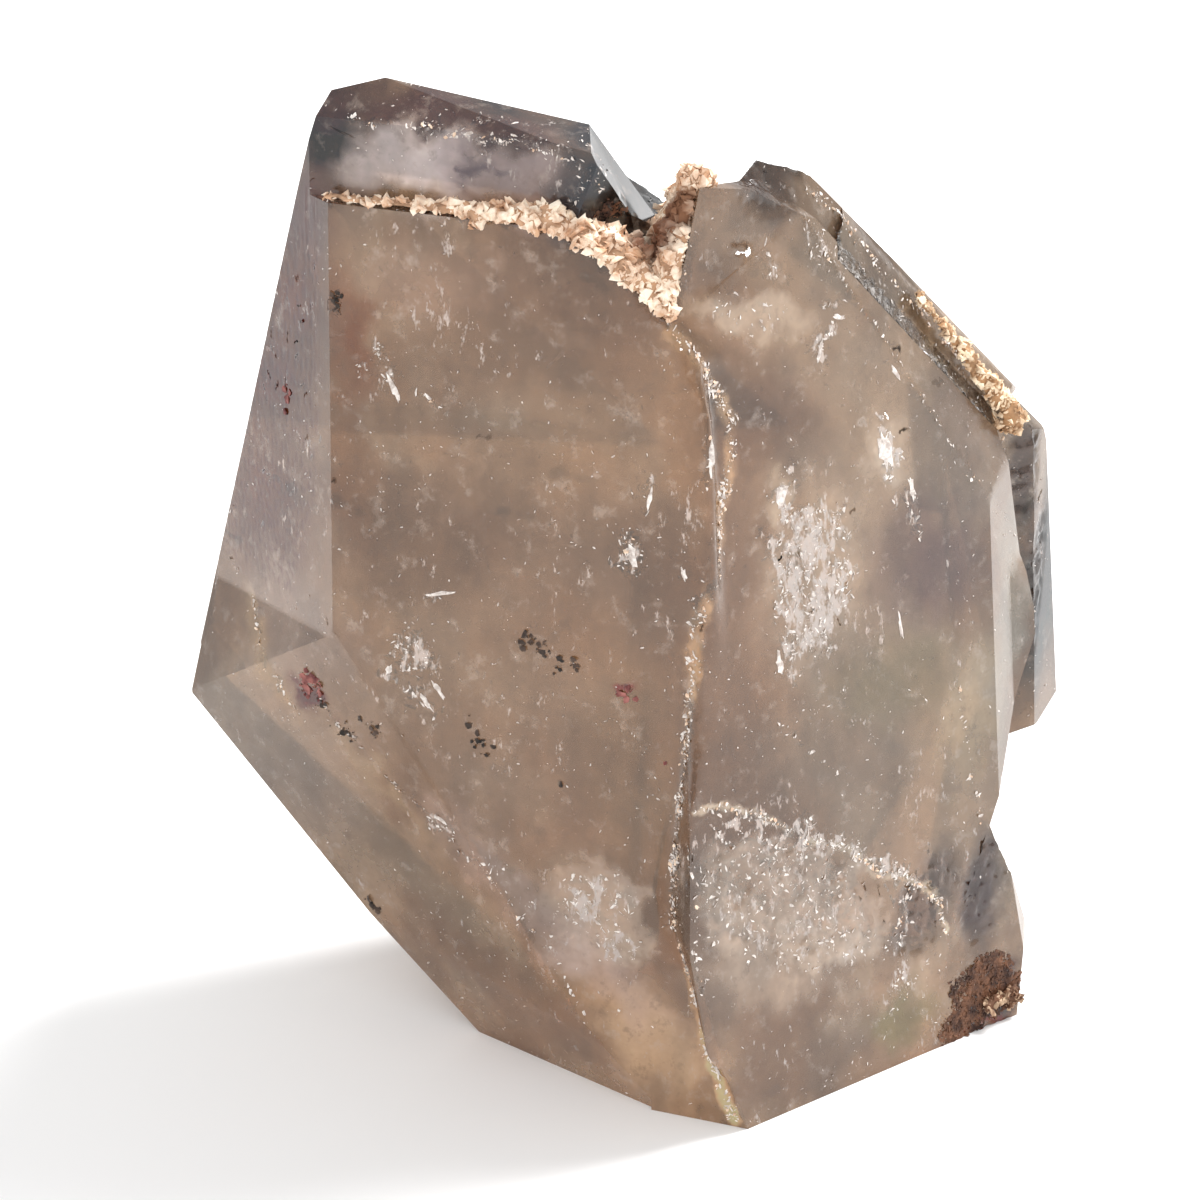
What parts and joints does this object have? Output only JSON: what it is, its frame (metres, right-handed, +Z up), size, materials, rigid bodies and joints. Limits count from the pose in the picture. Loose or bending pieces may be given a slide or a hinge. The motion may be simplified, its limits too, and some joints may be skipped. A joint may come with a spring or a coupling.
{
  "type": "smoky quartz freeform specimen",
  "caption": "Polished freeform of intergrown smoky amethyst quartz crystals, flat-based, with a notch and rough cream crusts.",
  "frame": {"origin": "middle of the bounding box, on the flat polished foot", "axes": "+Z up, the longest extent; -Y towards the front, the side the picture shows; +X to the picture's right"},
  "size_m": [0.0904, 0.0564, 0.0995],
  "materials": {
    "smoky_quartz": "polished, hazy brown-grey",
    "cream_crust": "rough grains",
    "ochre_crust": "rough grains",
    "rusty_druse": "rough grains"
  },
  "bodies": {
    "root": {"quartz_cluster": "smoky_quartz", "notch_crust": "cream_crust", "crevice_crust": "ochre_crust", "corner_druse": "rusty_druse"}
  },
  "joints": []
}
